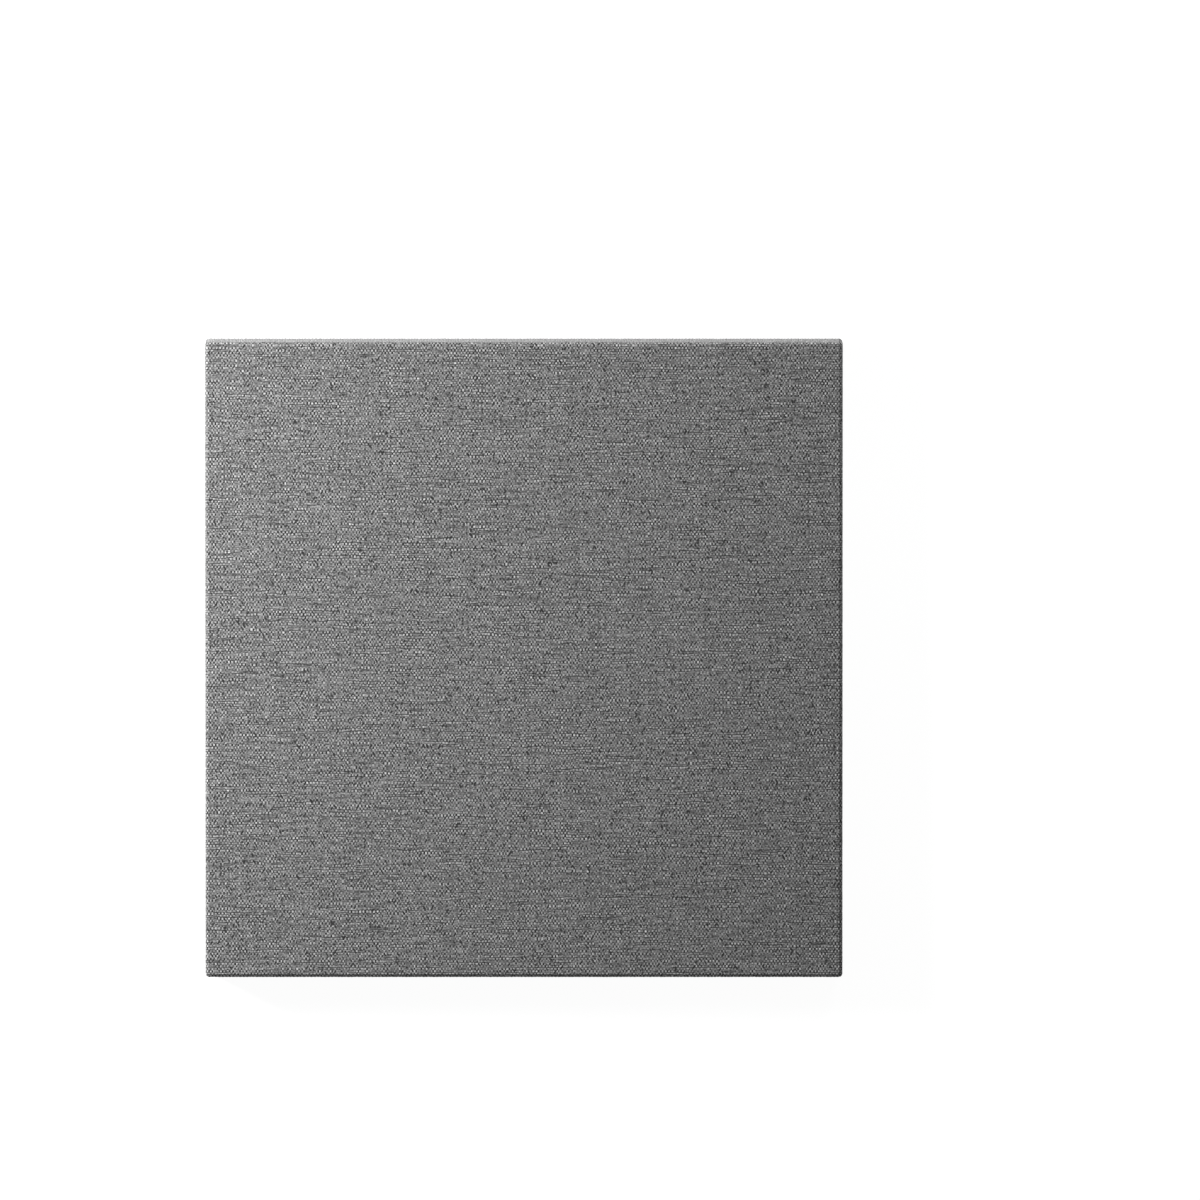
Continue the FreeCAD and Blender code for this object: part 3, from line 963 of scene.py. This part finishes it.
# %% Cut the screw holes
HOLE_RADIUS = 1.35 * MM
HOLE_SPACING = 10 * MM
HOLE_SIDES = 24
plates = sorted(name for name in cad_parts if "plate" in name)


def make_pins(places):
    """One mesh of round pins, long enough to pass right through the sheet."""
    mesh = bmesh.new()
    for place in places:
        bmesh.ops.create_cone(mesh, cap_ends=True, segments=HOLE_SIDES, radius1=HOLE_RADIUS,
                              radius2=HOLE_RADIUS, depth=8 * BACKING_THICKNESS,
                              matrix=Matrix.Translation(place))
    pins = bpy.data.objects.new("pins", bpy.data.meshes.new("pins"))
    mesh.to_mesh(pins.data)
    mesh.free()
    bpy.context.scene.collection.objects.link(pins)
    return pins


def cut_away(piece, tool):
    """Take the tool out of the piece, keep the result as a plain mesh, and remove the tool."""
    modifier = piece.modifiers.new("holes", "BOOLEAN")
    modifier.operation = "DIFFERENCE"
    modifier.solver = "EXACT"
    modifier.object = tool
    graph = bpy.context.evaluated_depsgraph_get()
    mesh = bpy.data.meshes.new_from_object(piece.evaluated_get(graph), depsgraph=graph)
    piece.modifiers.remove(modifier)
    piece.data = mesh
    mesh.set_sharp_from_angle(angle=math.radians(40))
    bpy.data.objects.remove(tool)


def screw_places():
    """Two places for each plate, in the middle of the sheet's thickness."""
    for name in plates:
        low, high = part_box(name)
        middle = (low + high) / 2
        for side in (-0.5, 0.5):
            x = middle.x + side * HOLE_SPACING
            yield Vector((x, middle.y, backing_low.z + BACKING_THICKNESS / 2))


cut_away(backing_scrim, make_pins(screw_places()))
print("backing with holes", len(backing_scrim.data.polygons), "faces")

# %% [markdown]
# ## The material of the backing
#
# The scrim is a black cloth of fine plastic yarn, slightly shiny. Crossed rows of fine holes give the
# net; the holes are sunk by bump and painted darker, as painted shade. Its weave also makes steep slanting
# lines, about 3 mm apart, which are faint and come and go, and they are what the eye picks up from further
# away.

# %% Black scrim
SCRIM_PITCH = 1.1 * MM
SCRIM_TONE = 0.05
NET_DEPTH = 0.25 * MM
SLANT_ACROSS = 3.0 * MM
SLANT_UP = 7.1 * MM
SLANT_LEAST, SLANT_MOST = 0.1, 0.2
PATCH_SCALE, CLOUD_SCALE = 45, 14


def object_place(tree):
    """The place on the piece, in metres."""
    return split(tree, tree.nodes.new("ShaderNodeTexCoord").outputs["Object"])


def slanting_lines(tree, place):
    """Waves across the sheet that are strong in some patches and faint in others."""
    turns = calc(tree, "ADD", scaled(tree, place["X"], 1 / SLANT_ACROSS),
                 scaled(tree, place["Y"], 1 / SLANT_UP))
    wave = calc(tree, "SINE", scaled(tree, turns, 2 * math.pi))
    patches = noise(tree, scaled(tree, place["X"], PATCH_SCALE), scaled(tree, place["Y"], PATCH_SCALE),
                    6.0, 2.0)
    return calc(tree, "MULTIPLY", wave, ramp(tree, patches, 0.35, 0.65, SLANT_LEAST, SLANT_MOST))


def make_scrim_material():
    material, tree, shader = new_material("black_scrim", Roughness=0.62, Specular_IOR_Level=0.35)
    place = object_place(tree)
    across, up = (calc(tree, "SINE", scaled(tree, place[axis], math.pi / SCRIM_PITCH)) for axis in "XY")
    net = calc(tree, "ABSOLUTE", calc(tree, "MULTIPLY", across, up))
    # Painted shade: the tone falls to 0.35 of itself in the net's holes, and the same values sink them by
    # bump.
    holes = ramp(tree, net, 0.55, 0.85, 1.0, 0.35)
    clouds = noise(tree, scaled(tree, place["X"], CLOUD_SCALE), scaled(tree, place["Y"], CLOUD_SCALE),
                   2.0, 3.0)
    tone = calc(tree, "MULTIPLY", calc(tree, "ADD", slanting_lines(tree, place), 1.0),
                ramp(tree, clouds, 0.3, 0.7, 0.92, 1.08))
    tone = calc(tree, "MULTIPLY", scaled(tree, tone, SCRIM_TONE), holes)
    connect(tree, combine_grey(tree, tone), shader.inputs["Base Color"])
    add_bump(tree, shader, holes, NET_DEPTH)
    return material


black_scrim = make_scrim_material()
backing_scrim.data.materials.append(black_scrim)
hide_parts("backing_sheet")
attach(backing_scrim, "root")
print("scrim has", len(black_scrim.node_tree.nodes), "nodes")

# %% [markdown]
# ## The hanging plates and the board
#
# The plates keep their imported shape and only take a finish: zinc-coated steel strip, brushed along its
# length. The board is glass wool, seen only where a cut would open it, but it gets its own material too,
# because the piece may be used by itself.

# %% Zinc-coated plate
BRUSH_SCALES = (90, 5200, 900)
SPANGLE_SCALE = 420
BRUSH_DEPTH = 0.02 * MM


def noise_in_metres(tree, place, scales, detail, roughness):
    """Smooth noise on a piece, with its own scale along each axis."""
    parts = [scaled(tree, place[axis], scale) for axis, scale in zip("XYZ", scales)]
    return noise(tree, *parts, detail, roughness)


def make_plate_material():
    material, tree, shader = new_material("zinc_plate", Metallic=1.0, Roughness=0.34)
    place = object_place(tree)
    brushed = noise_in_metres(tree, place, BRUSH_SCALES, 3.0, 0.6)
    spangle = noise(tree, scaled(tree, place["X"], SPANGLE_SCALE), scaled(tree, place["Y"], SPANGLE_SCALE),
                    4.0, 2.0)
    tone = calc(tree, "ADD", ramp(tree, brushed, 0.3, 0.7, 0.62, 0.74),
                ramp(tree, spangle, 0.35, 0.65, 0.0, 0.08))
    connect(tree, combine_grey(tree, tone), shader.inputs["Base Color"])
    connect(tree, ramp(tree, brushed, 0.3, 0.7, 0.28, 0.44), shader.inputs["Roughness"])
    add_bump(tree, shader, brushed, BRUSH_DEPTH, 0.5)
    return material


zinc_plate = make_plate_material()
print("plate finish has", len(zinc_plate.node_tree.nodes), "nodes")

# %% Glass wool board
LAYER_SCALES = (40, 40, 420)
STRAND_SCALES = (900, 900, 2600)
DARK_WOOL, PALE_WOOL = (0.40, 0.27, 0.07, 1), (0.72, 0.56, 0.22, 1)
WOOL_DEPTH = 0.6 * MM


def make_wool_material():
    material, tree, shader = new_material(
        "glass_wool", Roughness=0.95, Sheen_Weight=0.4, Specular_IOR_Level=0.2)
    place = object_place(tree)
    layers = noise_in_metres(tree, place, LAYER_SCALES, 4.0, 0.65)
    strands = noise_in_metres(tree, place, STRAND_SCALES, 3.0, 0.6)
    colour = tree.nodes.new("ShaderNodeValToRGB")
    for stop, position, tint in zip(colour.color_ramp.elements, (0.3, 0.7), (DARK_WOOL, PALE_WOOL)):
        stop.position = position
        stop.color = tint
    connect(tree, calc(tree, "MULTIPLY_ADD", strands, 0.5, scaled(tree, layers, 0.5)), colour.inputs[0])
    connect(tree, colour.outputs[0], shader.inputs["Base Color"])
    add_bump(tree, shader, calc(tree, "ADD", layers, strands), WOOL_DEPTH)
    return material


glass_wool = make_wool_material()
print("wool has", len(glass_wool.node_tree.nodes), "nodes")


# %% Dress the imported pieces
def dress_node(name, material):
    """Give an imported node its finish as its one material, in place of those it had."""
    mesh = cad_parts[name].data
    mesh.materials.clear()
    mesh.materials.append(material)


for name in plates:
    dress_node(name, zinc_plate)
dress_node("core_board", glass_wool)
print("dressed", plates, "and the board")

# %% [markdown]
# ## The floor and the light
#
# The picture is plain: a white ground, light from the left, and a slow fall of light across the face.
# One soft lamp on the left gives that fall. A low one beyond the top edge lights the band of cloth
# there. The white comes from what camera rays see in the floor and the world, so no extra light falls
# on the panel, and its faint shadow stays.

# %% Floor and world
FLOOR_HALF = 20.0
FLOOR_GLOW = 0.95
FLOOR_TONE = 0.2
SKY_LIGHT = 0.15


def seen_directly(tree):
    """1 where a ray comes from the camera, a mirror or glass, and 0 where it only carries light."""
    path = tree.nodes.new("ShaderNodeLightPath").outputs
    return calc(tree, "MAXIMUM", path["Is Camera Ray"],
                calc(tree, "MAXIMUM", path["Is Glossy Ray"], path["Is Transmission Ray"]))


def make_floor():
    mesh = bpy.data.meshes.new("floor")
    corners = [(-FLOOR_HALF, -FLOOR_HALF, 0), (FLOOR_HALF, -FLOOR_HALF, 0),
               (FLOOR_HALF, FLOOR_HALF, 0), (-FLOOR_HALF, FLOOR_HALF, 0)]
    mesh.from_pydata(corners, [], [(0, 1, 2, 3)])
    floor = bpy.data.objects.new("floor", mesh)
    bpy.context.scene.collection.objects.link(floor)
    material, tree, shader = new_material("floor", Roughness=1.0, Specular_IOR_Level=0.0)
    seen = seen_directly(tree)
    shader.inputs["Base Color"].default_value = (FLOOR_TONE, FLOOR_TONE, FLOOR_TONE, 1)
    shader.inputs["Emission Color"].default_value = (1, 1, 1, 1)
    connect(tree, scaled(tree, seen, FLOOR_GLOW), shader.inputs["Emission Strength"])
    mesh.materials.append(material)
    return floor


floor = make_floor()
world = bpy.data.worlds.new("studio")
bpy.context.scene.world = world
world.use_nodes = True
background = world.node_tree.nodes["Background"]
background.inputs["Color"].default_value = (1, 1, 1, 1)
sky = ramp(world.node_tree, seen_directly(world.node_tree), 0.0, 1.0, SKY_LIGHT, 1.0)
connect(world.node_tree, sky, background.inputs["Strength"])

# %% The lamps
def add_lamp(name, place, side, watts):
    """A soft square lamp that points at the middle of the face and isn't seen itself."""
    data = bpy.data.lights.new(name, "AREA")
    data.shape = "SQUARE"
    data.size = side
    data.energy = watts
    lamp = bpy.data.objects.new(name, data)
    lamp.location = place
    towards_face = Vector((0, 0, cover_high.z)) - Vector(place)
    lamp.rotation_euler = towards_face.to_track_quat("-Z", "Y").to_euler()
    lamp.visible_camera = False
    bpy.context.scene.collection.objects.link(lamp)
    return lamp


key_lamp = add_lamp("key_lamp", (-1.4, 0.55, 0.8), side=0.6, watts=50)
top_lamp = add_lamp("top_lamp", (1.0, 1.8, 0.25), side=0.5, watts=22)
print("lamps", [round(lamp.data.energy, 1) for lamp in (key_lamp, top_lamp)], "W")

# %% [markdown]
# ## Finish
#
# The colours are written as they should look, so the view is left plain.

# %% Set a plain view
bpy.context.scene.view_settings.view_transform = "Standard"
